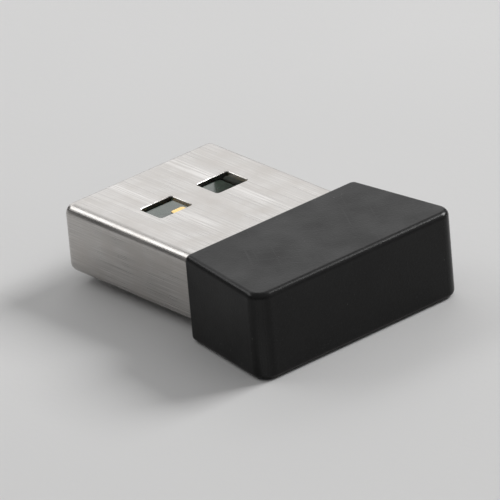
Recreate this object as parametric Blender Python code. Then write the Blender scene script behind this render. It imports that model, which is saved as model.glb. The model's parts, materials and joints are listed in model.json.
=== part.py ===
"""A nano USB Wi-Fi adapter: a small moulded cap on a USB-A plug, with its circuit board inside.

Lengths are in metres. The origin is the centre of the plug where it leaves the cap. +Y is the way the
plug goes into a port, so the cap's outer end is at -Y, and +Z is the cap's top.
"""

from math import atan, atan2, cos, hypot, pi, radians, sin, tan

import bmesh
import bpy
from mathutils import Vector

GAP = 0.00002  # between two pieces that touch
FIT = 0.00003  # round a piece that slides into another
THROUGH = 0.0006  # how far a cutter runs past the face it starts from
ARC_STEPS = 6
SHARP_ANGLE = 30

# Cap
CAP_LENGTH = 0.0080
CAP_WIDTH_OUTER = 0.0160
CAP_WIDTH_PORT = 0.0136
CAP_HEIGHT = 0.00565
CAP_EDGE = 0.0004
CAP_CORNER_OUTER = 0.0010
CAP_CORNER_PORT = 0.0005
WALL = 0.0007
ROOF = 0.000525
MOUTH_DEPTH = 0.0015
COVER_RIB_X = (0.0057, 0.0061)
COVER_RIB_Y = (-0.0069, -0.0044)
STOP_RIB_X = (0.0055, 0.0069)
STOP_RIB_REAR = -0.0039
STOP_RIB_LOW = 0.0003
BASE_RIB_X = (0.0041, 0.0047)
BASE_RIB_Y = (-0.0068, -0.0042)
HOOK_ROOM = 0.0001
HOOK_AT = -0.0054
HOOK_LENGTH = 0.0016
HOOK_THICK = 0.00036
HOOK_BARB = 0.00022
HOOK_CATCH = -0.00125
HOOK_TOP = -0.00070

# Plug shell, to the USB-A plug's standard sizes
SHELL_WIDTH = 0.0120
SHELL_HEIGHT = 0.0045
SHEET = 0.0003
SHELL_CORNER = 0.00064
PLUG_LENGTH = 0.0120
SHELL_INSIDE_CAP = 0.0032
NECK_END = 0.0003
NECK_INSET = 0.00002
TIP_TAPER = 0.0001
TIP_ROLL = 0.00035
TIP_EDGE = 0.00008
WINDOW_WIDTH = 0.0025
WINDOW_LENGTH = 0.0020
WINDOW_ASIDE = 0.00225
WINDOW_FROM_TIP = 0.00516
WINDOW_CORNER = 0.0002
SEAM_WIDTH = 0.00004
SEAM_KEYS = (0.0022, 0.0098)
SEAM_KEY_DEPTH = 0.00055
SEAM_KEY_NECK = 0.00035
SEAM_KEY_HEAD = 0.0006
BARB_ROOT = -0.0030
BARB_TIP = -0.0016
BARB_HEIGHT = 0.0010
BARB_REACH = 0.0003
BARB_ROOM = 0.0001
LEG_LENGTH = 0.00075
LEG_PROUD = 0.00015

# Board, whose contact pads lie on the plug's middle plane
PAD_THICK = 0.00006
BOARD_TOP = -PAD_THICK - GAP
BOARD_THICK = 0.0008
BOARD_BOTTOM = BOARD_TOP - BOARD_THICK
BOARD_TIP = 0.01125
BOARD_SHOULDER = -0.0040
BOARD_END = -0.0071
TONGUE_WIDTH = 0.01124
BOARD_WIDTH = 0.0123
CONTACT_WIDTH = 0.0010
CONTACT_START = 0.00355
POWER_CONTACT_LENGTH = 0.00741
DATA_CONTACT_LENGTH = 0.00641

# Plastic round the board inside the shell
CARRIER_TIP = 0.01175
CARRIER_REAR = -0.00315
NOSE_LAP = 0.0003
NOSE_LEAD_IN = 0.00022
CHIP_ROOM_WIDTH = 0.0072
CHIP_ROOM = (-0.0026, 0.0054)
LATCH_ROOM_DEPTH = 0.0005
LATCH_ROOM_MARGIN = 0.00015
CLAMP = (0.0009, 0.0023)
CLAMP_WALL = 0.0004

# Parts on the board: length, width and height
CHIP_SIZE = (0.0050, 0.0050, 0.00085)
CHIP_AT = (0.0, 0.0026)
CRYSTAL_SIZE = (0.0025, 0.0020, 0.0003)
CRYSTAL_AT = (-0.0016, -0.00125)
DECOUPLING_X = 0.00308
DECOUPLING_Y = 0.0010
DECOUPLING_PITCH = 0.0016
SIZE_0402 = (0.0010, 0.0005, 0.0005)
SIZE_0603 = (0.0016, 0.0008, 0.0008)
SIZE_0805 = (0.0020, 0.00125, 0.0010)
INDUCTOR_SIZE = (0.0025, 0.0020, 0.0012)
REGULATOR_SIZE = (0.0029, 0.0013, 0.0010)
REGULATOR_AT = (0.0036, -0.0010)
TRACE_WIDTH = 0.00036
TRACE_THICK = 0.00004
ANTENNA_X = -0.0052
ANTENNA_Y = (-0.0067, -0.0045)
ANTENNA_PITCH = 0.00092
ANTENNA_FOLDS = 9
ANTENNA_INDENT = 0.0004
FEED_LENGTH = 0.0025

# Worked out from the sizes above
FLARE = (CAP_WIDTH_OUTER - CAP_WIDTH_PORT) / 2 / CAP_LENGTH
CAP_TOP = CAP_HEIGHT / 2
CAVITY_TOP = CAP_TOP - ROOF
BASE_TOP = -CAVITY_TOP
SHELL_X = SHELL_WIDTH / 2
SHELL_Z = SHELL_HEIGHT / 2
BORE_X = SHELL_X - SHEET
BORE_Z = SHELL_Z - SHEET
BORE_CORNER = SHELL_CORNER - SHEET

MATERIALS = {  # base colour, roughness, metallic
    "cap_plastic": ((0.022, 0.022, 0.024), 0.42, 0.0),
    "shell_metal": ((0.62, 0.61, 0.59), 0.30, 1.0),
    "insert_plastic": ((0.015, 0.015, 0.016), 0.55, 0.0),
    "board_laminate": ((0.012, 0.090, 0.040), 0.35, 0.0),
    "contact_gold": ((0.83, 0.60, 0.22), 0.25, 1.0),
    "antenna_copper": ((0.80, 0.42, 0.24), 0.35, 1.0),
    "chip_epoxy": ((0.020, 0.020, 0.022), 0.60, 0.0),
    "crystal_ceramic": ((0.30, 0.26, 0.20), 0.60, 0.0),
    "crystal_metal": ((0.70, 0.68, 0.62), 0.28, 1.0),
    "capacitor_ceramic": ((0.42, 0.27, 0.15), 0.50, 0.0),
    "resistor_ceramic": ((0.030, 0.030, 0.034), 0.50, 0.0),
    "ferrite": ((0.060, 0.058, 0.056), 0.65, 0.0),
}


# ---------------------------------------------------------------- outlines


def rounded(corners, steps=ARC_STEPS):
    """The closed outline through corners (x, y, radius), with an arc in place of each corner."""
    outline = []
    for index, (x, y, radius) in enumerate(corners):
        corner = Vector((x, y))
        if not radius:
            outline.append(corner)
            continue
        before = (Vector(corners[index - 1][:2]) - corner).normalized()
        after = (Vector(corners[(index + 1) % len(corners)][:2]) - corner).normalized()
        half = before.angle(after) / 2
        centre = corner + (before + after).normalized() * radius / sin(half)
        spoke = corner + before * radius / tan(half) - centre
        last = corner + after * radius / tan(half) - centre
        turn = atan2(spoke.x * last.y - spoke.y * last.x, spoke.dot(last))
        first_angle = atan2(spoke.y, spoke.x)
        for step in range(steps + 1):
            angle = first_angle + turn * step / steps
            outline.append(centre + radius * Vector((cos(angle), sin(angle))))
    return outline


def rectangle(half_x, half_y, radius=0.0, centre=(0.0, 0.0), steps=ARC_STEPS):
    """A rectangle's outline about centre, with rounded corners if radius isn't 0."""
    x, y = centre
    signs = ((1, 1), (-1, 1), (-1, -1), (1, -1))
    return rounded([(x + i * half_x, y + j * half_y, radius) for i, j in signs], steps)


def band(path, width):
    """The outline of a strip that follows path, with mitred corners."""
    points = [Vector(point) for point in path]
    steps = [(b - a).normalized() for a, b in zip(points, points[1:])]
    left, right = [], []
    for point, before, after in zip(points, steps[:1] + steps, steps + steps[-1:]):
        along = (before + after).normalized()
        across = Vector((-along.y, along.x)) * width / 2 / along.dot(before)
        left.append(point + across)
        right.append(point - across)
    return left + right[::-1]


def side_x(y, inset):
    """Half the cap's width at y, on the line that runs inset inside its side."""
    return CAP_WIDTH_PORT / 2 - FLARE * y - inset * hypot(1, FLARE)


def cap_outline(inset):
    """The cap seen from above, drawn in by inset all round."""
    port, outer = -inset, inset - CAP_LENGTH
    port_corner, outer_corner = CAP_CORNER_PORT - inset, CAP_CORNER_OUTER - inset
    return rounded(
        [
            (side_x(port, inset), port, port_corner),
            (-side_x(port, inset), port, port_corner),
            (-side_x(outer, inset), outer, outer_corner),
            (side_x(outer, inset), outer, outer_corner),
        ]
    )


# ---------------------------------------------------------------- solids


def material(slot):
    """The slot's Principled material, made once."""
    if slot in bpy.data.materials:
        return bpy.data.materials[slot]
    colour, roughness, metallic = MATERIALS[slot]
    made = bpy.data.materials.new(slot)
    made.use_nodes = True
    shader = made.node_tree.nodes["Principled BSDF"]
    shader.inputs["Base Color"].default_value = (*colour, 1.0)
    shader.inputs["Roughness"].default_value = roughness
    shader.inputs["Metallic"].default_value = metallic
    made.diffuse_color = (*colour, 1.0)
    return made


def loft(name, rings, slot=None, hollow=False):
    """A closed mesh through rings of 3-D points: capped at both ends or, if hollow, joined end to end."""
    form = bmesh.new()
    rows = [[form.verts.new(point) for point in ring] for ring in rings]
    count = len(rows[0])
    for row, above in zip(rows, rows[1:] + rows[:1] if hollow else rows[1:]):
        for i in range(count):
            j = (i + 1) % count
            form.faces.new((row[i], row[j], above[j], above[i]))
    if not hollow:
        form.faces.new(rows[0][::-1])
        form.faces.new(rows[-1])
    bmesh.ops.recalc_face_normals(form, faces=form.faces)
    mesh = bpy.data.meshes.new(name)
    form.to_mesh(mesh)
    form.free()
    if slot:
        mesh.materials.append(material(slot))
    made = bpy.data.objects.new(name, mesh)
    bpy.context.scene.collection.objects.link(made)
    return made


def prism(name, outline, low, high, slot=None, axis="Z"):
    """An outline pushed from low to high along an axis. On X it holds (y, z), on Y (x, z), on Z (x, y)."""
    place = {
        "X": lambda a, b, height: (height, a, b),
        "Y": lambda a, b, height: (a, height, b),
        "Z": lambda a, b, height: (a, b, height),
    }[axis]
    return loft(name, [[place(a, b, height) for a, b in outline] for height in (low, high)], slot)


def box(name, low, high, slot=None):
    """A box between two corners."""
    outline = [(low[0], low[1]), (high[0], low[1]), (high[0], high[1]), (low[0], high[1])]
    return prism(name, outline, low[2], high[2], slot)


def combine(target, tool, operation):
    """Cuts the tool from the target, joins it on, or keeps what they share, and then removes the tool."""
    modifier = target.modifiers.new(tool.name, "BOOLEAN")
    modifier.object = tool
    modifier.operation = operation
    modifier.solver = "EXACT"
    bpy.context.view_layer.update()
    result = target.evaluated_get(bpy.context.evaluated_depsgraph_get())
    target.data = bpy.data.meshes.new_from_object(result)
    target.modifiers.clear()
    bpy.data.objects.remove(tool, do_unlink=True)


def cut(target, tool):
    combine(target, tool, "DIFFERENCE")


def join(target, tool):
    combine(target, tool, "UNION")


def shade(part):
    """Shades a finished piece smooth, apart from its sharp edges."""
    part.data.name = part.name
    part.data.shade_smooth()
    part.data.set_sharp_from_angle(angle=radians(SHARP_ANGLE))


# ---------------------------------------------------------------- cap


def cap_form(name, slot=None):
    """The cap's whole outer form, with rounded edges round its top and its underside."""
    levels = []
    for step in range(ARC_STEPS + 1):
        angle = pi / 2 * step / ARC_STEPS
        levels.append((CAP_EDGE * (1 - sin(angle)), CAP_TOP - CAP_EDGE * (1 - cos(angle))))
    rings = [[(x, y, -z) for x, y in cap_outline(inset)] for inset, z in levels]
    rings += [[(x, y, z) for x, y in cap_outline(inset)] for inset, z in reversed(levels)]
    return loft(name, rings, slot)


def cavity_outline(fit):
    """The cap's hollow seen from above, drawn in by fit: the room for the board, without the mouth."""
    inset = WALL + fit
    port, outer = -MOUTH_DEPTH - fit, inset - CAP_LENGTH
    corner = CAP_CORNER_OUTER - WALL
    return [
        (-side_x(port, inset), port, 0.0),
        (-side_x(outer, inset), outer, corner),
        (side_x(outer, inset), outer, corner),
        (side_x(port, inset), port, 0.0),
    ]


def on_side_wall(tool, side):
    """Moves a tool made at the origin to a side wall's inner face, with its +X pointing into the wall."""
    tool.location = (side * side_x(HOOK_AT, WALL), HOOK_AT, 0)
    tool.rotation_euler.z = atan(FLARE) if side > 0 else pi - atan(FLARE)
    return tool


def both_sides(near, far):
    """The left and right places of a piece that stands between near and far from the middle."""
    return (("left", -far, -near), ("right", near, far))


def add_cover_ribs(cover):
    """Ribs under the roof: a pair that holds the board down, and a pair that the shell's end butts on."""
    root = CAVITY_TOP + ROOF / 2
    for word, low_x, high_x in both_sides(*COVER_RIB_X):
        low = (low_x, COVER_RIB_Y[0], BOARD_TOP + GAP)
        join(cover, box("cover_rib_" + word, low, (high_x, COVER_RIB_Y[1], root)))
    for word, low_x, high_x in both_sides(*STOP_RIB_X):
        low = (low_x, STOP_RIB_REAR, STOP_RIB_LOW)
        join(cover, box("shell_stop_" + word, low, (high_x, -SHELL_INSIDE_CAP - GAP, root)))


def build_cap_cover():
    """The cap's top, sides, outer end and the arch over the plug, open underneath."""
    cover = cap_form("cap_cover", "cap_plastic")
    below = -CAP_TOP - THROUGH
    cut(cover, prism("cover_hollow", rounded(cavity_outline(0)), below, CAVITY_TOP))
    arch_x, arch_top, arch_low = SHELL_X + FIT, SHELL_Z + FIT, below - THROUGH
    arch = rounded(
        [
            (arch_x, arch_top, SHELL_CORNER),
            (-arch_x, arch_top, SHELL_CORNER),
            (-arch_x, arch_low, 0.0),
            (arch_x, arch_low, 0.0),
        ]
    )
    cut(cover, prism("cover_arch", arch, -MOUTH_DEPTH - THROUGH, THROUGH, axis="Y"))
    half = HOOK_LENGTH / 2 + HOOK_ROOM
    low = (-HOOK_BARB, -half, HOOK_CATCH - HOOK_ROOM)
    high = (HOOK_BARB + HOOK_ROOM, half, HOOK_TOP + HOOK_ROOM)
    for side, word in ((-1, "left"), (1, "right")):
        cut(cover, on_side_wall(box("hook_pocket_" + word, low, high), side))
    add_cover_ribs(cover)
    return cover


def build_cap_base():
    """The plate that closes the cap's underside, with two ribs under the board and two snap hooks."""
    mouth_x, step_y = SHELL_X - FIT, -MOUTH_DEPTH - FIT
    corners = [(mouth_x, THROUGH, 0.0), (-mouth_x, THROUGH, 0.0), (-mouth_x, step_y, 0.0)]
    corners += cavity_outline(FIT) + [(mouth_x, step_y, 0.0)]
    base = prism("cap_base", rounded(corners), -CAP_TOP - THROUGH, BASE_TOP, "cap_plastic")
    combine(base, cap_form("cap_limit"), "INTERSECT")
    root = BASE_TOP - ROOF / 2
    for word, low_x, high_x in both_sides(*BASE_RIB_X):
        low, high = (low_x, BASE_RIB_Y[0], root), (high_x, BASE_RIB_Y[1], BOARD_BOTTOM - GAP)
        join(base, box("base_rib_" + word, low, high))
    face = -2 * FIT
    hook = [
        (face - HOOK_THICK, root),
        (face, root),
        (face, HOOK_CATCH),
        (HOOK_BARB, HOOK_CATCH),
        (face, HOOK_TOP),
        (face - HOOK_THICK, HOOK_TOP),
    ]
    for side, word in ((-1, "left"), (1, "right")):
        clip = prism("base_hook_" + word, hook, -HOOK_LENGTH / 2, HOOK_LENGTH / 2, axis="Y")
        join(base, on_side_wall(clip, side))
    return base


# ---------------------------------------------------------------- plug


def add_seam(shell):
    """The butt seam along the shell's underside, locked by dovetail keys."""
    path = [(0, -SHELL_INSIDE_CAP - THROUGH)]
    for key in SEAM_KEYS:
        path += [(0, key - SEAM_KEY_NECK), (SEAM_KEY_DEPTH, key - SEAM_KEY_HEAD)]
        path += [(SEAM_KEY_DEPTH, key + SEAM_KEY_HEAD), (0, key + SEAM_KEY_NECK)]
    path += [(0, PLUG_LENGTH + THROUGH)]
    cut(shell, prism("shell_seam", band(path, SEAM_WIDTH), -SHELL_Z - THROUGH, -BORE_Z + THROUGH))


def add_barbs_and_legs(shell):
    """Two barbs bent out of the side walls, which lock in the cap, and two legs beside the board."""
    reach = SHELL_X + THROUGH
    root, tip, half = BARB_ROOT + BARB_ROOM, BARB_TIP + BARB_ROOM, (BARB_HEIGHT + BARB_ROOM) / 2
    opening = [(root, -half), (tip, -half), (tip, half), (root, half)]
    cut(shell, prism("barb_opening", opening, -reach, reach, axis="X"))
    inner, outer = BORE_X + FIT, SHELL_X - FIT
    for side, word in ((-1, "left"), (1, "right")):
        barb = [(side * inner, BARB_ROOT), (side * outer, BARB_ROOT)]
        barb += [(side * (outer + BARB_REACH), BARB_TIP), (side * (inner + BARB_REACH), BARB_TIP)]
        join(shell, prism("barb_" + word, barb, -BARB_HEIGHT / 2, BARB_HEIGHT / 2))
    for word, low_x, high_x in both_sides(inner, outer):
        low = (low_x, -SHELL_INSIDE_CAP - LEG_LENGTH, BOARD_BOTTOM - LEG_PROUD)
        high = (high_x, FIT - SHELL_INSIDE_CAP, BOARD_TOP + LEG_PROUD)
        join(shell, box("shell_leg_" + word, low, high))


def build_usb_shell():
    """The folded shell, open at its tip, with two latch windows above and two below.

    It is a little smaller where the cap holds it, up to its neck.
    """

    def ring(y, inset):
        outline = rectangle(SHELL_X - inset, SHELL_Z - inset, SHELL_CORNER - inset)
        return [(x, y, z) for x, z in outline]

    rear, tip, middle = -SHELL_INSIDE_CAP, PLUG_LENGTH, (TIP_TAPER + SHEET) / 2
    rings = [ring(rear, NECK_INSET), ring(NECK_END - TIP_EDGE, NECK_INSET), ring(NECK_END, 0)]
    rings += [ring(tip - TIP_ROLL, 0), ring(tip - TIP_EDGE, TIP_TAPER / 2)]
    rings += [ring(tip, middle - TIP_EDGE), ring(tip, middle + TIP_EDGE), ring(tip - TIP_EDGE, SHEET)]
    rings += [ring(rear, SHEET)]
    shell = loft("usb_shell", rings, "shell_metal", hollow=True)
    for side, word in ((-1, "left"), (1, "right")):
        centre = (side * WINDOW_ASIDE, PLUG_LENGTH - WINDOW_FROM_TIP)
        window = rectangle(WINDOW_WIDTH / 2, WINDOW_LENGTH / 2, WINDOW_CORNER, centre, 3)
        reach = SHELL_Z + THROUGH
        cut(shell, prism("latch_windows_" + word, window, -reach, reach))
    add_seam(shell)
    add_barbs_and_legs(shell)
    return shell


def bore_profile(low, high, foot, head):
    """A section that fills the shell's bore from low to high, with its lower and upper corners rounded."""
    x = BORE_X - 2 * GAP
    return rounded([(x, high, head), (-x, high, head), (-x, low, foot), (x, low, foot)])


def build_plug_carrier():
    """The tray under the board: it holds the board up in the shell, and its nose covers the board's tip."""
    low, high = GAP - BORE_Z, BOARD_BOTTOM - GAP
    profile = bore_profile(low, high, BORE_CORNER, 0.0)
    carrier = prism("plug_carrier", profile, CARRIER_REAR, CARRIER_TIP - FIT, "insert_plastic", "Y")
    nose_rear, nose_low, nose_x = BOARD_TIP + GAP, high - NOSE_LAP, BORE_X - 3 * GAP
    nose = [(nose_rear, nose_low), (CARRIER_TIP, nose_low), (CARRIER_TIP, -GAP - NOSE_LEAD_IN)]
    nose += [(CARRIER_TIP - NOSE_LEAD_IN, -GAP), (nose_rear, -GAP)]
    join(carrier, prism("carrier_nose", nose, -nose_x, nose_x, axis="X"))
    window_x = CHIP_ROOM_WIDTH / 2
    lowest = (-window_x, CHIP_ROOM[0], low - THROUGH)
    cut(carrier, box("chip_room", lowest, (window_x, CHIP_ROOM[1], high + THROUGH)))
    half_x, half_y = WINDOW_WIDTH / 2 + LATCH_ROOM_MARGIN, WINDOW_LENGTH / 2 + LATCH_ROOM_MARGIN
    for side, word in ((-1, "left"), (1, "right")):
        centre = (side * WINDOW_ASIDE, PLUG_LENGTH - WINDOW_FROM_TIP)
        room = rectangle(half_x, half_y, WINDOW_CORNER, centre, 3)
        cut(carrier, prism("latch_room_" + word, room, low - THROUGH, low + LATCH_ROOM_DEPTH))
    return carrier


def build_board_clamp():
    """The block over the board at the plug's root, hollowed from behind, where the plug's hollow ends."""
    low, high = BOARD_TOP + GAP, BORE_Z - GAP
    profile = bore_profile(low, high, 0.0, BORE_CORNER)
    clamp = prism("board_clamp", profile, CLAMP[0], CLAMP[1], "insert_plastic", "Y")
    for word, low_x, high_x in both_sides(CLAMP_WALL, BORE_X - 2 * CLAMP_WALL):
        corner = (low_x, CLAMP[0] - THROUGH, low + CLAMP_WALL)
        cut(clamp, box("clamp_room_" + word, corner, (high_x, CLAMP[1] - CLAMP_WALL, high - CLAMP_WALL)))
    return clamp


# ---------------------------------------------------------------- board


def build_circuit_board():
    """One board: a narrow tongue in the plug, and a wider end for the antenna in the cap."""
    tongue, wide = TONGUE_WIDTH / 2, BOARD_WIDTH / 2
    outline = rounded(
        [
            (tongue, BOARD_TIP, 0.0003),
            (-tongue, BOARD_TIP, 0.0003),
            (-tongue, BOARD_SHOULDER, 0.0),
            (-wide, BOARD_SHOULDER, 0.0002),
            (-wide, BOARD_END, 0.0004),
            (wide, BOARD_END, 0.0004),
            (wide, BOARD_SHOULDER, 0.0002),
            (tongue, BOARD_SHOULDER, 0.0),
        ],
        4,
    )
    return prism("circuit_board", outline, BOARD_BOTTOM, BOARD_TOP, "board_laminate")


def build_contacts():
    """The plug's four contacts. The outer pair carries power and reaches nearer the tip."""
    contacts = (
        ("contact_vbus", -0.0035, POWER_CONTACT_LENGTH),
        ("contact_data_minus", -0.0010, DATA_CONTACT_LENGTH),
        ("contact_data_plus", 0.0010, DATA_CONTACT_LENGTH),
        ("contact_ground", 0.0035, POWER_CONTACT_LENGTH),
    )
    for name, x, length in contacts:
        outline = rectangle(CONTACT_WIDTH / 2, length / 2, 0.0002, (x, CONTACT_START + length / 2), 4)
        prism(name, outline, -PAD_THICK, 0.0, "contact_gold")


def build_antenna():
    """The printed antenna: an inverted F whose arm is folded to and fro across the board's outer end."""
    far, near = ANTENNA_Y
    turn = near - ANTENNA_INDENT
    path = [(ANTENNA_X, near), (ANTENNA_X, far), (ANTENNA_X + 2 * ANTENNA_PITCH, far)]
    for fold in range(ANTENNA_FOLDS):
        x = ANTENNA_X + (2 + fold) * ANTENNA_PITCH
        start, end = (turn, far) if fold % 2 else (far, turn)
        path += [(x, start), (x, end)] if fold else [(x, end)]
    low, high = BOARD_TOP + GAP, BOARD_TOP + GAP + TRACE_THICK
    trace = prism("antenna_trace", band(path, TRACE_WIDTH), low, high, "antenna_copper")
    feed_x, feed_y, half = ANTENNA_X + ANTENNA_PITCH, far - TRACE_WIDTH / 4, TRACE_WIDTH / 2
    corner = (feed_x + half, feed_y + FEED_LENGTH, high)
    join(trace, box("antenna_feed", (feed_x - half, feed_y, low), corner))
    return trace


def on_board(part, place, under=False, turned=False):
    """Stands a part, made upright on the origin, on the board's top or upside down on its underside."""
    level = BOARD_BOTTOM - GAP if under else BOARD_TOP + GAP
    part.location = (place[0], place[1], level)
    part.rotation_euler = (pi if under else 0, 0, pi / 2 if turned else 0)
    return part


def two_ended(name, size, slot, place, under=False, turned=False):
    """A small soldered part: a ceramic body between two thicker metal ends."""
    length, width, height = size
    end, waist = 0.22 * length, 0.000015
    rings = []
    for x, draw in ((0, 0), (end, 0), (end, waist), (length - end, waist), (length - end, 0), (length, 0)):
        y, low, high = width / 2 - draw, draw, height - draw
        rings.append([(x - length / 2, a, b) for a, b in ((-y, low), (y, low), (y, high), (-y, high))])
    return on_board(loft(name, rings, slot), place, under, turned)


def build_wifi_chip():
    """The radio chip: a flat leadless package with drafted sides and a dimple by its first pad."""
    length, width, height = CHIP_SIZE
    levels = ((0.0, 0.0), (0.0003, 0.0), (height, 0.00006))
    rings = [
        [(x, y, level) for x, y in rectangle(length / 2 - draw, width / 2 - draw, 0.0002, steps=2)]
        for level, draw in levels
    ]
    chip = loft("wifi_chip", rings, "chip_epoxy")
    spot_size, from_edge, depth = 0.00025, 0.0007, 0.00005
    place = (from_edge - length / 2, width / 2 - from_edge)
    spot = rectangle(spot_size, spot_size, spot_size * 0.96, place, 4)
    cut(chip, prism("chip_dimple", spot, height - depth, height + THROUGH))
    return on_board(chip, CHIP_AT, under=True)


def build_crystal():
    """The clock crystal under the board: a ceramic base and, below it, a metal lid."""
    length, width, height = CRYSTAL_SIZE
    outline = rectangle(length / 2, width / 2, 0.00015, steps=2)
    on_board(prism("crystal_base", outline, 0, height, "crystal_ceramic"), CRYSTAL_AT, under=True)
    rings = []
    for level, inset in ((0, 0.00012), (0.00008, 0.00012), (0.0001, 0.0002), (0.00022, 0.0002)):
        rim = rectangle(length / 2 - inset, width / 2 - inset, 0.0002, steps=3)
        rings.append([(x, y, height + GAP + level) for x, y in rim])
    on_board(loft("crystal_lid", rings, "crystal_metal"), CRYSTAL_AT, under=True)


def build_voltage_regulator():
    """The 3.3 V regulator: a drafted block with two bent leads on one side and one on the other."""
    length, width, height = REGULATOR_SIZE
    stand, draft = 0.00008, 0.0001
    rings = []
    for level, draw in ((stand, draft), (height / 2, 0.0), (height, draft)):
        x, y = length / 2 - draw, width / 2 - draw
        rings.append([(a, b, level) for a, b in ((-x, -y), (x, -y), (x, y), (-x, y))])
    body = loft("voltage_regulator", rings, "chip_epoxy")
    root, bend, foot = width / 2 - 0.0003, width / 2 + 0.00022, width / 2 + 0.00055
    thick, half, aside, middle = 0.00013, 0.0002, 0.00095, height / 2
    for name, x, side in (("lead_in", -aside, -1), ("lead_ground", aside, -1), ("lead_out", 0, 1)):
        path = [(side * root, middle), (side * bend, middle)]
        path += [(side * bend, thick / 2), (side * foot, thick / 2)]
        join(body, prism("regulator_" + name, band(path, thick), x - half, x + half, axis="X"))
    return on_board(body, REGULATOR_AT)


def build_small_parts():
    """The rest of the soldered parts, on both faces of the board."""
    two_ended("input_capacitor", SIZE_0805, "capacitor_ceramic", (0.0008, -0.0003))
    two_ended("output_capacitor", SIZE_0603, "capacitor_ceramic", (0.0008, -0.0020))
    two_ended("power_inductor", INDUCTOR_SIZE, "ferrite", (-0.0019, -0.0007))
    two_ended("ferrite_bead", SIZE_0603, "ferrite", (-0.0044, -0.0002))
    two_ended("antenna_match_capacitor_1", SIZE_0402, "capacitor_ceramic", (-0.0050, -0.0016), turned=True)
    two_ended("antenna_match_inductor", SIZE_0402, "capacitor_ceramic", (-0.0043, -0.0028), turned=True)
    two_ended("antenna_match_capacitor_2", SIZE_0402, "capacitor_ceramic", (-0.0036, -0.0028), turned=True)
    for number in range(6):
        side = -1 if number < 3 else 1
        place = (side * DECOUPLING_X, DECOUPLING_Y + DECOUPLING_PITCH * (number % 3))
        name = f"decoupling_capacitor_{number + 1}"
        two_ended(name, SIZE_0402, "capacitor_ceramic", place, True, True)
    for number, x in enumerate((-0.0032, 0.0001), start=1):
        name = f"crystal_load_capacitor_{number}"
        two_ended(name, SIZE_0402, "capacitor_ceramic", (x, CRYSTAL_AT[1]), True, True)
    for name, x in (("bias_resistor", 0.0009), ("data_resistor_1", 0.0018), ("data_resistor_2", 0.0026)):
        two_ended(name, SIZE_0402, "resistor_ceramic", (x, CRYSTAL_AT[1]), True, True)


def main():
    for leftover in list(bpy.data.objects):
        bpy.data.objects.remove(leftover, do_unlink=True)
    build_cap_cover()
    build_cap_base()
    build_usb_shell()
    build_plug_carrier()
    build_board_clamp()
    build_circuit_board()
    build_contacts()
    build_antenna()
    build_wifi_chip()
    build_crystal()
    build_voltage_regulator()
    build_small_parts()
    for part in bpy.data.objects:
        shade(part)


main()
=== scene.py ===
"""The looks of a nano USB Wi-Fi adapter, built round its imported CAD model.

Lengths are in metres. The origin is the centre of the plug where it leaves the cap, +Y is the way the plug
goes into a port, and +Z is the cap's top.
"""

import json
from math import atan, atan2, cos, hypot, pi, radians, sin, tan

import bmesh
import bpy
from mathutils import Matrix, Vector


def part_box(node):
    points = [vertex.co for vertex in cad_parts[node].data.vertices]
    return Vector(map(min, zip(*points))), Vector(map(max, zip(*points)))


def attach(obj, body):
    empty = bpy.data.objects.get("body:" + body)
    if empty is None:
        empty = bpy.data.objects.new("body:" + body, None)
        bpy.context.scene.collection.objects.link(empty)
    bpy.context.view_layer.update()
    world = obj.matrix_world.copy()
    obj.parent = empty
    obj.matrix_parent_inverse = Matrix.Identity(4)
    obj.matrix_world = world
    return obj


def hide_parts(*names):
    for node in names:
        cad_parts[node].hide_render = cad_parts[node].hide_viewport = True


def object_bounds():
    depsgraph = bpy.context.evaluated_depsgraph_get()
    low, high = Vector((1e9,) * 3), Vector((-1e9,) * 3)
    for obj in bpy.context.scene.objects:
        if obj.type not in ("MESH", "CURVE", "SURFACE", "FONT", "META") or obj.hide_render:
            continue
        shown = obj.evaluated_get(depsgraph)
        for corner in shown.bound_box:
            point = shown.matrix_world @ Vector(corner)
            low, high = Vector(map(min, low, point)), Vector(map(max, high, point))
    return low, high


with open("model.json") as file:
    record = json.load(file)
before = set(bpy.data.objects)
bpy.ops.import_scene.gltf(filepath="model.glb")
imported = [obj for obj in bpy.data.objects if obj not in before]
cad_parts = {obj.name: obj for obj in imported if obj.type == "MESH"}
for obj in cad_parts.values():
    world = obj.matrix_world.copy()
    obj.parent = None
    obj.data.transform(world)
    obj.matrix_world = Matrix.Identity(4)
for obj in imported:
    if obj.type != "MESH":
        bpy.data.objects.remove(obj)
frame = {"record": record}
cad_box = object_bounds()
SLOTS = {part["node"]: part["material_slot"] for part in frame["record"]["subparts"]}

GAP = 0.00002  # between two pieces that touch
FIT = 0.00003  # round a piece that slides into another
THROUGH = 0.0006  # how far a cutter runs past the face it starts from
SHARP_ANGLE = 38  # in degrees: a steeper edge is shaded sharp
SIDES = ((-1, "left"), (1, "right"))

# Straight pieces in a rounded corner, from the largest corners to the smallest
ARC_STEPS = 10
SMALL_STEPS = 6
FINE_STEPS = 4
TINY_STEPS = 3

# Places of the CAD model's pieces
COVER_LOW, COVER_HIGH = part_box("cap_cover")
SHELL_LOW, SHELL_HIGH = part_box("usb_shell")
BOARD_LOW, BOARD_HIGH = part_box("circuit_board")
CARRIER_LOW, CARRIER_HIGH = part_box("plug_carrier")
CLAMP_LOW, CLAMP_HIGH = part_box("board_clamp")

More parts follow.
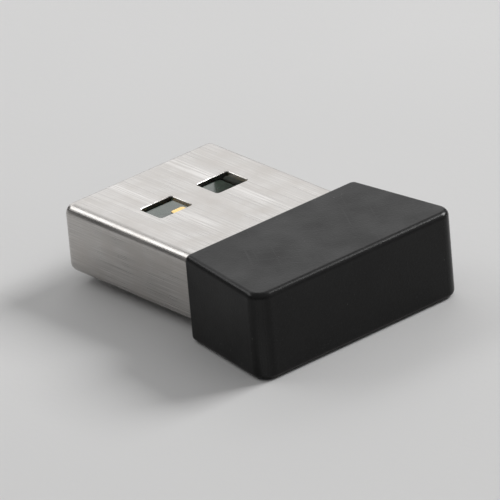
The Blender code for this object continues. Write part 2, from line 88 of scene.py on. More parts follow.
# Cap
CAP_LENGTH = -COVER_LOW.y
CAP_TOP = COVER_HIGH.z
CAP_WIDTH_OUTER = 0.0160
CAP_WIDTH_PORT = 0.0136
CAP_EDGE = 0.0004
CAP_CORNER_OUTER = 0.0010
CAP_CORNER_PORT = 0.0005
FLARE = (CAP_WIDTH_OUTER - CAP_WIDTH_PORT) / 2 / CAP_LENGTH
WALL = 0.0007
ROOF = 0.000525
CAVITY_TOP = CAP_TOP - ROOF
MOUTH_DEPTH = 0.0015
PARTING_GROOVE = 0.00005
ARCH_EDGE = 0.00006
COVER_RIB_X = (0.0057, 0.0061)
COVER_RIB_Y = (-0.0069, -0.0044)
STOP_RIB_X = (0.0055, 0.0069)
STOP_RIB_REAR = -0.0039
STOP_RIB_LOW = 0.0003
BASE_RIB_X = (0.0041, 0.0047)
BASE_RIB_Y = (-0.0068, -0.0042)
HOOK_AT = -0.0054
HOOK_LENGTH = 0.0016
HOOK_THICK = 0.00036
HOOK_BARB = 0.00022
HOOK_CATCH = -0.00125
HOOK_TOP = -0.00070
HOOK_ROOM = 0.0001
LABEL_SIZE = (0.0090, 0.0042)
LABEL_AT = (0.0, -0.0042)
LABEL_DEPTH = 0.00006
LABEL_CORNER = 0.0004
EJECTOR_RADIUS = 0.00045
EJECTOR_DEPTH = 0.00004
EJECTORS = ((0.0056, -0.0064), (0.0053, -0.0024))  # those right of the middle

# Plug
SHELL_X = 0.0060
SHELL_Z = SHELL_HIGH.z
SHEET = 0.0003
SHELL_CORNER = 0.00064
PLUG_LENGTH = SHELL_HIGH.y
SHELL_REAR = -0.0032
NECK_END = 0.0003
NECK_INSET = 0.00002
NECK_STEP = 0.00004
LIP_LENGTH = 0.00045
LIP_ROLL = 0.00018
BORE_X = SHELL_X - SHEET
BORE_Z = SHELL_Z - SHEET
BORE_CORNER = SHELL_CORNER - SHEET
WINDOW_SIZE = (0.0025, 0.0020)
WINDOW_ASIDE = 0.00225
WINDOW_Y = PLUG_LENGTH - 0.00516
WINDOW_CORNER = 0.0002
WINDOW_EDGE = 0.00004
SEAM_WIDTH = 0.00004
SEAM_GROOVE = 0.00010
SEAM_KEYS = (0.0022, 0.0098)
SEAM_KEY_DEPTH = 0.00055
SEAM_KEY_NECK = 0.00035
SEAM_KEY_HEAD = 0.0006
BARB_ROOT = -0.0030
BARB_TIP = -0.0016
BARB_HEIGHT = 0.0010
BARB_REACH = 0.0003
BARB_ROOM = 0.0001
LEG_PROUD = 0.00015

# Board and the plastic round it
BOARD_TOP = BOARD_HIGH.z
BOARD_BOTTOM = BOARD_LOW.z
BOARD_TIP = BOARD_HIGH.y
BOARD_SHOULDER = -0.0040
BOARD_CORNER = 0.0004
SHOULDER_CORNER = 0.0002
TONGUE_X = 0.00562
TONGUE_CORNER = 0.0003
INSERT_EDGE = 0.00006
NOSE_LAP = 0.0003
NOSE_LEAD_IN = 0.00022
NOSE_POCKET = (0.0022, 0.0005, 0.0002)  # width, height and depth
NOSE_POCKETS_X = (-0.0034, 0.0, 0.0034)
CHIP_ROOM_X = 0.0036
CHIP_ROOM_Y = (-0.0026, 0.0054)
LATCH_ROOM_DEPTH = 0.0005
LATCH_ROOM_MARGIN = 0.00015
CLAMP_WALL = 0.0004
BOARD_EDGE = 0.00002
TRACE_HEIGHT = 0.000012
TRACE_WIDTH = 0.00022
TRACE_END = 0.0004
CONTACT_TRACES = {  # where each contact's trace ends, to the side
    "contact_vbus": -0.0042,
    "contact_data_minus": -0.0003,
    "contact_data_plus": 0.0003,
    "contact_ground": 0.0042,
}
CONTACT_CORNER = 0.0002
CONTACT_RIM = 0.00003
ANTENNA_WIDTH = 0.00036
ANTENNA_DEPTH = 0.0022
ANTENNA_PITCH = 0.00092
ANTENNA_FOLDS = 9
ANTENNA_INDENT = 0.0004
ANTENNA_RIM = 0.000012

# Soldered parts
PART_EDGE = 0.00004
EDGE_STEPS = ((0.0, 0.6), (0.3, 0.2), (1.0, 0.0))  # shares of PART_EDGE: inwards from the end, and inset
WAIST = 0.000015  # a small step, such as from a tinned end down to the body
TINNED_SHARE = 0.22  # of a part's length, at each end
SOLDER_REACH = 0.32  # of a part's height, up to SOLDER_MOST
SOLDER_MOST = 0.0002
SOLDER_SPREAD = 0.00004
SOLDER_RISE = (0.06, 0.62)  # shares of a part's height: at the toe, and from there to the part
RAMP_STEPS = 5
CHIP_STEP = 0.00030
CHIP_DRAFT = 0.00002
CHIP_CORNER = 0.00012
CHIP_DIMPLE = 0.00024
CHIP_DIMPLE_AT = 0.0007
CHIP_PADS = 8
CHIP_PITCH = 0.0005
CHIP_PAD = 0.00024
PAD_PROUD = 0.00001
CRYSTAL_NOTCH = 0.00022
LID_CORNER = 0.00022
LID_STEPS = 5
LID_FLANGE_SHARE = 0.36  # of the lid's height
REGULATOR_DEPTH = 0.0013
REGULATOR_DRAFT = 0.00008
REGULATOR_DENT = (-0.6, -0.45)  # shares of its half length and half depth
LEAD_SIZE = (0.00013, 0.0004)  # thickness and width
LEAD_ROOT = 0.6  # share of the regulator's half depth
LEAD_BEND = 0.00016
LEAD_ASIDE = 0.00095

# Stage: for each light its direction, distance, size and watts
FLOOR_HALF = 1.5
FLOOR_THICK = 0.02
FLOOR_GAP = 0.00001
ROOM_LIGHT = (0.07, 0.38)  # level with the object, and overhead
LIGHTS = (
    ("sheen_light", (0.50, 0.78, 0.42), 0.5, (0.46, 0.40), 0.73),
    ("side_light", (1.25, -0.30, 0.95), 0.6, (0.25, 0.25), 2.5),
    ("edge_light", (-0.33, 0.70, 0.63), 0.5, (0.34, 0.12), 0.36),
)

# Camera, as the photograph's but closer in
CAMERA_AZIMUTH = -39.1
CAMERA_ELEVATION = 25.2
CAMERA_ROLL = -5.14
CAMERA_DISTANCE = 0.497
VIEW_WIDTH = 0.030  # at the object
SENSOR = 36.0


# -------- outlines


def rounded(corners, steps=ARC_STEPS):
    """The closed outline through corners (x, y, radius), with an arc in place of each corner."""
    outline = []
    for index, (x, y, radius) in enumerate(corners):
        corner = Vector((x, y))
        if not radius:
            outline.append(corner)
            continue
        before = (Vector(corners[index - 1][:2]) - corner).normalized()
        after = (Vector(corners[(index + 1) % len(corners)][:2]) - corner).normalized()
        half = before.angle(after) / 2
        centre = corner + (before + after).normalized() * radius / sin(half)
        spoke = corner + before * radius / tan(half) - centre
        last = corner + after * radius / tan(half) - centre
        turn = atan2(spoke.x * last.y - spoke.y * last.x, spoke.dot(last))
        first_angle = atan2(spoke.y, spoke.x)
        for step in range(steps + 1):
            angle = first_angle + turn * step / steps
            outline.append(centre + radius * Vector((cos(angle), sin(angle))))
    return outline


def rectangle(half_x, half_y, radius=0.0, centre=(0.0, 0.0), steps=ARC_STEPS):
    """A rectangle's outline about centre, with rounded corners if radius isn't 0."""
    x, y = centre
    signs = ((1, 1), (-1, 1), (-1, -1), (1, -1))
    return rounded([(x + i * half_x, y + j * half_y, radius) for i, j in signs], steps)


def circle(radius, centre=(0.0, 0.0), count=32):
    """A circle's outline about centre."""
    turns = [2 * pi * step / count for step in range(count)]
    return [(centre[0] + radius * cos(turn), centre[1] + radius * sin(turn)) for turn in turns]


def band(path, width):
    """The outline of a strip that follows path, with mitred corners."""
    points = [Vector(point) for point in path]
    steps = [(b - a).normalized() for a, b in zip(points, points[1:])]
    left, right = [], []
    for point, before, after in zip(points, steps[:1] + steps, steps + steps[-1:]):
        along = (before + after).normalized()
        across = Vector((-along.y, along.x)) * width / 2 / along.dot(before)
        left.append(point + across)
        right.append(point - across)
    return left + right[::-1]


def side_x(y, inset):
    """Half the cap's width at y, on the line that runs inset inside its side."""
    return CAP_WIDTH_PORT / 2 - FLARE * y - inset * hypot(1, FLARE)


def cap_outline(inset):
    """The cap seen from above, drawn in by inset all round."""
    port, outer = -inset, inset - CAP_LENGTH
    port_x, port_corner = side_x(port, inset), CAP_CORNER_PORT - inset
    outer_x, outer_corner = side_x(outer, inset), CAP_CORNER_OUTER - inset
    port_end = [(port_x, port, port_corner), (-port_x, port, port_corner)]
    return rounded(port_end + [(-outer_x, outer, outer_corner), (outer_x, outer, outer_corner)])


def hollow_corners(fit):
    """The corners of the cap's hollow seen from above, drawn in by fit, without the plug's mouth."""
    inset = WALL + fit
    port, outer = -MOUTH_DEPTH - fit, inset - CAP_LENGTH
    port_x, outer_x, corner = side_x(port, inset), side_x(outer, inset), CAP_CORNER_OUTER - WALL
    return [(-port_x, port, 0.0), (-outer_x, outer, corner), (outer_x, outer, corner), (port_x, port, 0.0)]


def plate_outline(draw):
    """The plate that closes the cap's underside, seen from above, drawn in by draw."""
    mouth_x, step_y = SHELL_X - FIT - draw, -MOUTH_DEPTH - FIT - draw
    mouth = [(mouth_x, THROUGH, 0.0), (-mouth_x, THROUGH, 0.0), (-mouth_x, step_y, 0.0)]
    return rounded(mouth + hollow_corners(FIT + draw) + [(mouth_x, step_y, 0.0)])


def arch_outline(grow):
    """The way through the cap's port side for the plug, made larger by grow: x and z."""
    x, top, low = SHELL_X + FIT + grow, SHELL_Z + FIT + grow, -CAP_TOP - 2 * THROUGH
    corner = SHELL_CORNER + grow
    return rounded([(x, top, corner), (-x, top, corner), (-x, low, 0.0), (x, low, 0.0)])


def window_outline(side, grow, corner=WINDOW_CORNER):
    """A latch window seen from above, made larger by grow."""
    half_x, half_y = WINDOW_SIZE[0] / 2 + grow, WINDOW_SIZE[1] / 2 + grow
    return rectangle(half_x, half_y, corner, (side * WINDOW_ASIDE, WINDOW_Y), SMALL_STEPS)


def both_sides(near, far):
    """The left and right places of a piece that stands between near and far from the middle."""
    return (("left", -far, -near), ("right", near, far))


# -------- solids


def loft(name, rings, hollow=False):
    """A closed mesh through rings of 3-D points: capped at both ends or, if hollow, joined end to end."""
    form = bmesh.new()
    rows = [[form.verts.new(point) for point in ring] for ring in rings]
    count = len(rows[0])
    for row, above in zip(rows, rows[1:] + rows[:1] if hollow else rows[1:]):
        for i in range(count):
            j = (i + 1) % count
            form.faces.new((row[i], row[j], above[j], above[i]))
    if not hollow:
        form.faces.new(rows[0][::-1])
        form.faces.new(rows[-1])
    bmesh.ops.recalc_face_normals(form, faces=form.faces)
    mesh = bpy.data.meshes.new(name)
    form.to_mesh(mesh)
    form.free()
    made = bpy.data.objects.new(name, mesh)
    bpy.context.scene.collection.objects.link(made)
    return made


def stack(name, outline, levels, axis="Z"):
    """A solid through outline(amount) at each (height, amount) of levels along an axis."""
    at = "XYZ".index(axis)
    rings = [[(*point[:at], height, *point[at:]) for point in outline(amount)] for height, amount in levels]
    return loft(name, rings)


def prism(name, outline, low, high, axis="Z"):
    """An outline pushed from low to high along an axis. On X it holds (y, z), on Y (x, z), on Z (x, y)."""
    return stack(name, lambda amount: outline, ((low, 0), (high, 0)), axis)


def box(name, low, high):
    """A box between two corners."""
    outline = [(low[0], low[1]), (high[0], low[1]), (high[0], high[1]), (low[0], high[1])]
    return prism(name, outline, low[2], high[2])


def quarter_turns(steps=ARC_STEPS):
    """The angles from 0 to a quarter turn."""
    return [pi / 2 * step / steps for step in range(steps + 1)]


def rim_levels(high, radius, steps=ARC_STEPS):
    """Heights up to high, each with the inset that rounds the edge there."""
    turns = reversed(quarter_turns(steps))
    return [(high - radius * (1 - cos(turn)), radius * (1 - sin(turn))) for turn in turns]


def round_levels(low, high, radius, steps=ARC_STEPS):
    """Heights from low to high, each with the inset that rounds the two edges."""
    foot = [(low - fall, inset) for fall, inset in reversed(rim_levels(0, radius, steps))]
    return foot + rim_levels(high, radius, steps)


def combine(target, tool, operation):
    """Cuts the tool from the target, joins it on, or keeps what they share, and then removes the tool."""
    modifier = target.modifiers.new(tool.name, "BOOLEAN")
    modifier.object = tool
    modifier.operation = operation
    modifier.solver = "EXACT"
    bpy.context.view_layer.update()
    result = target.evaluated_get(bpy.context.evaluated_depsgraph_get())
    target.data = bpy.data.meshes.new_from_object(result)
    target.modifiers.clear()
    bpy.data.objects.remove(tool, do_unlink=True)


def cut(target, tool):
    combine(target, tool, "DIFFERENCE")


def join(target, tool):
    combine(target, tool, "UNION")


def paint(piece, rule):
    """Gives each face the material whose number the rule works out from its centre and normal."""
    for face in piece.data.polygons:
        face.material_index = int(rule(face.center, face.normal))


def show(piece, node, *materials):
    """Finishes a piece: smooth shading, its materials, and the CAD node that it stands for."""
    piece.data.name = piece.name
    piece.data.shade_smooth()
    piece.data.set_sharp_from_angle(angle=radians(SHARP_ANGLE))
    weights = piece.modifiers.new("face_weights", "WEIGHTED_NORMAL")
    weights.keep_sharp = True
    for material in materials:
        piece.data.materials.append(material)
    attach(piece, "root")
    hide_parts(node)


# -------- node helpers


class Shader:
    """A material's node tree, with short ways to add and join its nodes."""

    def __init__(self, name):
        self.material = bpy.data.materials.new(name)
        self.material.use_nodes = True
        self.tree = self.material.node_tree
        self.surface = self.tree.nodes["Principled BSDF"]

    def node(self, kind, inputs=None, **settings):
        """Adds a node with its settings, and fills or links its inputs."""
        made = self.tree.nodes.new("ShaderNode" + kind)
        for key, value in settings.items():
            setattr(made, key, value)
        for key, value in (inputs or {}).items():
            self.feed(made.inputs[key], value)
        return made

    def feed(self, socket, value):
        """Links another node's output to a socket, or sets a plain value."""
        if isinstance(value, bpy.types.NodeSocket):
            self.tree.links.new(value, socket)
        else:
            socket.default_value = value

    def finish(self, body, gloss, normal, **others):
        """Feeds the surface its colour, roughness, relief and other inputs, and gives back the material."""
        values = {"Base_Color": body, "Roughness": gloss, "Normal": normal, **others}
        for key, value in values.items():
            self.feed(self.surface.inputs[key.replace("_", " ")], value)
        return self.material

    def place(self, stretch=(1, 1, 1), turn=0.0):
        """A point's place in metres, turned about Z and then scaled, for a pattern that runs one way."""
        place = self.node("TexCoord").outputs["Object"]
        if turn:
            place = self.node("Mapping", {"Vector": place, "Rotation": (0, 0, turn)}).outputs["Vector"]
        return self.node("Mapping", {"Vector": place, "Scale": stretch}).outputs["Vector"]

    def noise(self, size, detail=2.0, stretch=(1, 1, 1), turn=0.0, roughness=0.5):
        """Noise from 0 to 1, with features of about size."""
        place = self.place(stretch, turn)
        inputs = {"Vector": place, "Scale": 1 / size, "Detail": detail, "Roughness": roughness}
        return self.node("TexNoise", inputs).outputs["Fac"]

    def spread(self, value, low, high, start=0.3, end=0.7):
        """Turns value's range from start to end, usually that of noise, into low to high."""
        inputs = {"Value": value, "From Min": start, "From Max": end, "To Min": low, "To Max": high}
        return self.node("MapRange", inputs).outputs["Result"]

    def ramp(self, value, start, end):
        """From 0 where value is start or less, to 1 where it is end or more."""
        return self.spread(value, 0, 1, start, end)

    def math(self, operation, a, b=0.0):
        made = self.node("Math", operation=operation)
        self.feed(made.inputs[0], a)
        self.feed(made.inputs[1], b)
        return made.outputs[0]

    def mix(self, share, first, second):
        """The first colour where share is 0, and the second where it is 1."""
        made = self.node("Mix", data_type="RGBA")
        self.feed(made.inputs[0], share)
        self.feed(made.inputs[6], first)
        self.feed(made.inputs[7], second)
        return made.outputs[2]

    def tint(self, body, where, amount, colour):
        """The body's colour, turned towards another by amount where the value is 1."""
        return self.mix(self.math("MULTIPLY", where, amount), body, colour)

    def bump(self, height, depth, after=None):
        """Raises the surface by depth where height is 1."""
        inputs = {"Height": height, "Distance": depth, "Strength": 1.0}
        if after is not None:
            inputs["Normal"] = after
        return self.node("Bump", inputs).outputs["Normal"]

    def axes(self, output):
        """The three parts of a texture coordinate, such as the object's normal."""
        vector = self.node("TexCoord").outputs[output]
        return self.node("SeparateXYZ", {"Vector": vector}).outputs

    def edges(self):
        """From 0 on a flat face to about 0.4 on a rounded corner."""
        x, y, z = (self.math("ABSOLUTE", part) for part in self.axes("Normal"))
        return self.math("SUBTRACT", 1.0, self.math("MAXIMUM", self.math("MAXIMUM", x, y), z))

    def scratches(self, width, turn, amount):
        """Thin straight lines in one direction: 1 on a line, and 0 beside it."""
        lines = self.noise(width, 0.0, (1, 0.012, 1), turn)
        return self.ramp(lines, 0.80 - amount, 0.84 - amount)

    def crossed(self, *ways):
        """Scratches that run two ways, each with its width, turn and amount."""
        return self.math("MAXIMUM", *(self.scratches(*way) for way in ways))

    def specks(self, size, amount):
        """Small scattered specks: 1 on a speck, and 0 beside it."""
        return self.ramp(self.noise(size, 0.0), 0.86 - amount, 0.90 - amount)


def grey(value, warm=0.0):
    return (value * (1 + warm), value, value * (1 - warm), 1.0)


# -------- materials


def moulded_plastic(name, colour, roughness, grain_depth):
    """Satin moulded plastic: a fine spark-eroded grain, rubbed edges that are also lightened as a painted
    highlight, faint scratches and a little dust.
    """
    shader = Shader(name)
    grain = shader.noise(0.00012, 1.0)
    fine = shader.noise(0.00005, 1.0)
    cloud = shader.noise(0.0026, 3.0)
    patches = shader.spread(cloud, 0.5, 1.0, 0.35, 0.65)
    # Along the edges, in patches: partly rubbed wear, partly a painted highlight.
    edge_wear_and_highlight = shader.math("MULTIPLY", shader.ramp(shader.edges(), 0.03, 0.22), patches)
    lines = shader.crossed((0.00009, 0.5, 0.06), (0.00007, -0.9, 0.05))
    lines = shader.math("MULTIPLY", lines, shader.ramp(cloud, 0.45, 0.60))
    dust = shader.specks(0.00020, 0.02)
    body = shader.mix(shader.ramp(grain, 0.3, 0.7), grey(colour * 0.75), grey(colour * 1.2))
    # Edges are painted lighter: partly rubbed wear, partly a painted highlight along every edge.
    body = shader.mix(edge_wear_and_highlight, body, grey(colour * 2.4))
    body = shader.tint(body, lines, 0.22, grey(0.045))
    body = shader.tint(body, dust, 0.4, grey(0.10, 0.03))
    gloss = shader.spread(cloud, roughness - 0.05, roughness + 0.06)
    gloss = shader.math("ADD", gloss, shader.spread(grain, -0.04, 0.04, 0, 1))
    gloss = shader.math("SUBTRACT", gloss, shader.math("MULTIPLY", edge_wear_and_highlight, 0.30))
    unworn = shader.spread(shader.edges(), 1.0, 0.2, 0.03, 0.22)
    normal = shader.bump(cloud, 0.000006)
    normal = shader.bump(shader.math("MULTIPLY", grain, unworn), grain_depth, normal)
    normal = shader.bump(shader.math("MULTIPLY", fine, unworn), grain_depth * 0.3, normal)
    normal = shader.bump(lines, -0.0000008, normal)
    return shader.finish(body, gloss, normal, Specular_IOR_Level=0.22)


def insert_plastic():
    """Matt black plastic with short glass fibres that show faintly."""
    shader = Shader("glass_filled_plastic")
    fibres = shader.crossed((0.00003, 0.2, 0.12), (0.00003, 1.3, 0.10))
    grain = shader.noise(0.00008, 2.0)
    body = shader.mix(grain, grey(0.009), grey(0.016))
    body = shader.tint(body, fibres, 0.5, grey(0.045))
    gloss = shader.spread(grain, 0.46, 0.66)
    normal = shader.bump(fibres, 0.0000015, shader.bump(grain, 0.000004))
    return shader.finish(body, gloss, normal, Specular_IOR_Level=0.4)


def shell_nickel():
    """Nickel-plated steel sheet, drawn along the plug, with lanes where a port's springs have rubbed it."""
    shader = Shader("nickel_plated_sheet")
    drawn = shader.noise(0.00006, 2.0, (1, 0.012, 1), roughness=0.4)
    cloud = shader.noise(0.0016, 3.0)
    pits = shader.specks(0.00007, 0.10)
    x, y, z = shader.axes("Object")
    off_lane = shader.math("ABSOLUTE", shader.math("SUBTRACT", shader.math("ABSOLUTE", x), WINDOW_ASIDE))
    lane = shader.spread(off_lane, 1.0, 0.0, 0.00028, 0.00052)
    lane = shader.math("MULTIPLY", lane, shader.ramp(y, 0.0016, 0.0030))
    lane = shader.math("MULTIPLY", lane, shader.spread(drawn, 0.1, 1.0, 0.42, 0.58))
    marks = shader.crossed((0.00005, 0.05, 0.09), (0.00006, -0.35, 0.04))
    polished = shader.ramp(shader.edges(), 0.02, 0.25)
    body = shader.mix(shader.ramp(drawn, 0.3, 0.7), grey(0.37, 0.035), grey(0.54, 0.03))
    body = shader.mix(shader.spread(cloud, 0, 0.6, 0.4, 0.7), body, grey(0.43, 0.06))
    body = shader.tint(body, lane, 0.4, grey(0.66, 0.02))
    body = shader.tint(body, pits, 0.6, grey(0.30, 0.05))
    gloss = shader.math("ADD", shader.spread(drawn, 0.27, 0.39), shader.spread(cloud, -0.03, 0.05))
    smooth = shader.math("MAXIMUM", shader.math("MULTIPLY", lane, 0.6), polished)
    gloss = shader.math("SUBTRACT", gloss, shader.math("MULTIPLY", smooth, 0.09))
    normal = shader.bump(cloud, 0.000004)
    normal = shader.bump(drawn, 0.0000007, normal)
    normal = shader.bump(shader.math("ADD", marks, pits), -0.0000006, normal)
    return shader.finish(body, gloss, normal, Metallic=1.0)


def solder_mask(name, dark, light):
    """Glossy green solder mask, with the laminate's weave showing faintly through it."""
    shader = Shader(name)
    place = shader.place()
    wave = {"Vector": place, "Scale": 1 / 0.0030, "Distortion": 0.6, "Detail": 1.0, "Detail Scale": 400.0}
    threads = [shader.node("TexWave", wave, bands_direction=way).outputs["Fac"] for way in "XY"]
    weave = shader.math("MULTIPLY", *threads)
    cloud = shader.noise(0.0011, 3.0)
    body = shader.mix(shader.ramp(cloud, 0.3, 0.7), dark, light)
    body = shader.tint(body, weave, 0.25, (0.020, 0.130, 0.055, 1))
    gloss = shader.spread(cloud, 0.16, 0.30)
    normal = shader.bump(weave, 0.000003, shader.bump(cloud, 0.000006))
    return shader.finish(body, gloss, normal, Coat_Weight=0.4, Coat_Roughness=0.12)


def laminate_edge():
    """The board's sawn edge: layers of glass cloth in resin."""
    shader = Shader("laminate_edge")
    layers = shader.noise(0.00007, 2.0, (0.12, 0.12, 1))
    grain = shader.noise(0.00005, 2.0)
    body = shader.mix(shader.ramp(layers, 0.35, 0.65), (0.16, 0.13, 0.06, 1), (0.36, 0.31, 0.17, 1))
    gloss = shader.spread(grain, 0.55, 0.8, 0, 1)
    normal = shader.bump(layers, 0.000006, shader.bump(grain, 0.000005))
    return shader.finish(body, gloss, normal)


def contact_gold():
    """Gold plate, wiped lengthways by a port's contacts, with a little nickel showing through."""
    shader = Shader("gold_plate")
    wiped = shader.noise(0.00004, 2.0, (1, 0.02, 1))
    cloud = shader.noise(0.0006, 3.0)
    pits = shader.specks(0.00005, 0.10)
    body = shader.mix(shader.ramp(wiped, 0.3, 0.7), (0.78, 0.53, 0.19, 1), (0.87, 0.62, 0.25, 1))
    body = shader.mix(shader.spread(cloud, 0, 0.6, 0.55, 0.75), body, (0.62, 0.55, 0.42, 1))
    body = shader.tint(body, pits, 0.7, (0.25, 0.17, 0.09, 1))
    gloss = shader.spread(wiped, 0.14, 0.30)
    normal = shader.bump(wiped, 0.0000012, shader.bump(cloud, 0.000003))
    return shader.finish(body, gloss, normal, Metallic=1.0)


def metal(name, dark, light, size, smooth, rough, depth):
    """A metal whose colour and gloss vary in small patches, such as tin, copper or a stamped lid."""
    shader = Shader(name)
    patch = shader.noise(size, 3.0)
    fine = shader.noise(size * 0.18, 2.0)
    body = shader.mix(shader.ramp(patch, 0.35, 0.65), dark, light)
    gloss = shader.math("ADD", shader.spread(patch, smooth, rough), shader.spread(fine, -0.05, 0.05, 0, 1))
    normal = shader.bump(fine, depth * 0.4, shader.bump(patch, depth))
    return shader.finish(body, gloss, normal, Metallic=1.0)


def mineral(name, dark, light, size, smooth, rough, depth):
    """A fired or moulded body, such as ceramic or chip epoxy: fine specks, chips and a dull gloss."""
    shader = Shader(name)
    grain = shader.noise(size, 4.0, roughness=0.65)
    cloud = shader.noise(size * 9, 2.0)
    chips = shader.specks(size * 1.5, 0.12)
    body = shader.mix(shader.ramp(grain, 0.32, 0.68), dark, light)
    body = shader.tint(body, chips, 0.5, dark)
    gloss = shader.math("ADD", shader.spread(cloud, smooth, rough), shader.spread(grain, -0.06, 0.06, 0, 1))
    normal = shader.bump(grain, depth, shader.bump(chips, -depth * 1.5))
    return shader.finish(body, gloss, normal, Specular_IOR_Level=0.45)


def pale_floor():
    """A plain pale matt surface."""
    shader = Shader("pale_floor")
    cloud = shader.noise(0.03, 2.0)
    grain = shader.noise(0.0004, 2.0)
    body = shader.mix(cloud, grey(0.70, 0.004), grey(0.74, 0.004))
    normal = shader.bump(grain, 0.000006)
    return shader.finish(body, 0.9, normal, Specular_IOR_Level=0.15)


# -------- cap


def on_side_wall(tool, side):
    """Moves a tool made at the origin to a side wall's inner face, with its +X pointing into the wall."""
    tool.location = (side * side_x(HOOK_AT, WALL), HOOK_AT, 0)
    tool.rotation_euler.z = atan(FLARE) if side > 0 else pi - atan(FLARE)
    return tool


def cap_form(name):
    """The cap's whole outer form, with rounded edges round its top and its underside."""
    return stack(name, cap_outline, round_levels(-CAP_TOP, CAP_TOP, CAP_EDGE))


def add_cover_ribs(cover):
    """Ribs under the roof: a pair that holds the board down, and a pair that the shell's end butts on."""
    root = CAVITY_TOP + ROOF / 2
    for word, low_x, high_x in both_sides(*COVER_RIB_X):
        low = (low_x, COVER_RIB_Y[0], BOARD_TOP + GAP)
        join(cover, box("cover_rib_" + word, low, (high_x, COVER_RIB_Y[1], root)))
    for word, low_x, high_x in both_sides(*STOP_RIB_X):
        low = (low_x, STOP_RIB_REAR, STOP_RIB_LOW)
        join(cover, box("shell_stop_" + word, low, (high_x, SHELL_REAR - GAP, root)))


def build_cap_cover():
    """The cap's top, sides, outer end and the arch over the plug, open underneath."""
    cover = cap_form("cap_cover_moulding")
    groove, edge = PARTING_GROOVE, ARCH_EDGE
    levels = ((-CAP_TOP - THROUGH, -groove), (-CAP_TOP, -groove), (groove - CAP_TOP, 0), (CAVITY_TOP, 0))
    cut(cover, stack("cover_hollow", lambda fit: rounded(hollow_corners(fit)), levels))
    levels = ((-MOUTH_DEPTH - THROUGH, 0), (-edge, 0), (-edge * 0.3, edge * 0.3), (0, edge), (THROUGH, edge))
    cut(cover, stack("cover_arch", arch_outline, levels, "Y"))
    half = HOOK_LENGTH / 2 + HOOK_ROOM
    low = (-HOOK_BARB, -half, HOOK_CATCH - HOOK_ROOM)
    high = (HOOK_BARB + HOOK_ROOM, half, HOOK_TOP + HOOK_ROOM)
    for side, word in SIDES:
        cut(cover, on_side_wall(box("hook_pocket_" + word, low, high), side))
    add_cover_ribs(cover)
    return cover


def add_base_ribs_and_hooks(base):
    """Two ribs under the board, and two hooks that snap into the cover's side walls."""
    root = -CAVITY_TOP - ROOF / 2
    for word, low_x, high_x in both_sides(*BASE_RIB_X):
        low, high = (low_x, BASE_RIB_Y[0], root), (high_x, BASE_RIB_Y[1], BOARD_BOTTOM - GAP)
        join(base, box("base_rib_" + word, low, high))
    face, back = -2 * FIT, -2 * FIT - HOOK_THICK
    hook = [(back, root), (face, root), (face, HOOK_CATCH), (HOOK_BARB, HOOK_CATCH)]
    hook += [(face, HOOK_TOP), (back, HOOK_TOP)]
    for side, word in SIDES:
        clip = prism("base_hook_" + word, hook, -HOOK_LENGTH / 2, HOOK_LENGTH / 2, "Y")
        join(base, on_side_wall(clip, side))


def build_cap_base():
    """The plate that closes the cap's underside, with a blank label recess and ejector marks."""
    groove = PARTING_GROOVE
    levels = ((-CAP_TOP - THROUGH, groove), (-CAP_TOP, groove), (groove - CAP_TOP, 0), (-CAVITY_TOP, 0))
    base = stack("cap_base_moulding", plate_outline, levels)
    combine(base, cap_form("cap_limit"), "INTERSECT")
    half_x, half_y = LABEL_SIZE[0] / 2, LABEL_SIZE[1] / 2

    def label(grow):
        return rectangle(half_x + grow, half_y + grow, LABEL_CORNER + grow, LABEL_AT)

    def sunk(depth, slope):
        return ((-CAP_TOP - THROUGH, slope), (-CAP_TOP, slope), (depth - CAP_TOP, 0))

    cut(base, stack("label_recess", label, sunk(LABEL_DEPTH, LABEL_DEPTH / 2)))
    for centre in [(side * x, y) for x, y in EJECTORS for side in (-1, 1)]:

        def mark(grow):
            return circle(EJECTOR_RADIUS + grow, centre)

        cut(base, stack("ejector_mark", mark, sunk(EJECTOR_DEPTH, EJECTOR_DEPTH / 4)))
    add_base_ribs_and_hooks(base)
    return base


# -------- plug


def add_seam(shell):
    """The butt seam along the shell's underside, locked by dovetail keys, with rounded-over edges."""
    path = [(0, SHELL_REAR - THROUGH)]
    for key in SEAM_KEYS:
        path += [(0, key - SEAM_KEY_NECK), (SEAM_KEY_DEPTH, key - SEAM_KEY_HEAD)]
        path += [(SEAM_KEY_DEPTH, key + SEAM_KEY_HEAD), (0, key + SEAM_KEY_NECK)]
    path += [(0, PLUG_LENGTH + THROUGH)]
    groove_depth = (SEAM_GROOVE - SEAM_WIDTH) / 2
    levels = ((-SHELL_Z - THROUGH, SEAM_GROOVE), (-SHELL_Z, SEAM_GROOVE))
    levels += ((groove_depth - SHELL_Z, SEAM_WIDTH), (THROUGH - BORE_Z, SEAM_WIDTH))
    cut(shell, stack("shell_seam", lambda width: band(path, width), levels))


def add_windows(shell):
    """Two latch windows above and two below, with broken edges."""
    reach, edge = SHELL_Z + THROUGH, WINDOW_EDGE
    levels = ((-reach, edge), (-SHELL_Z, edge), (edge - SHELL_Z, 0))
    levels += ((SHELL_Z - edge, 0), (SHELL_Z, edge), (reach, edge))
    for side in (-1, 1):

        def window(grow):
            return window_outline(side, grow, WINDOW_CORNER + grow)

        cut(shell, stack("latch_windows", window, levels))


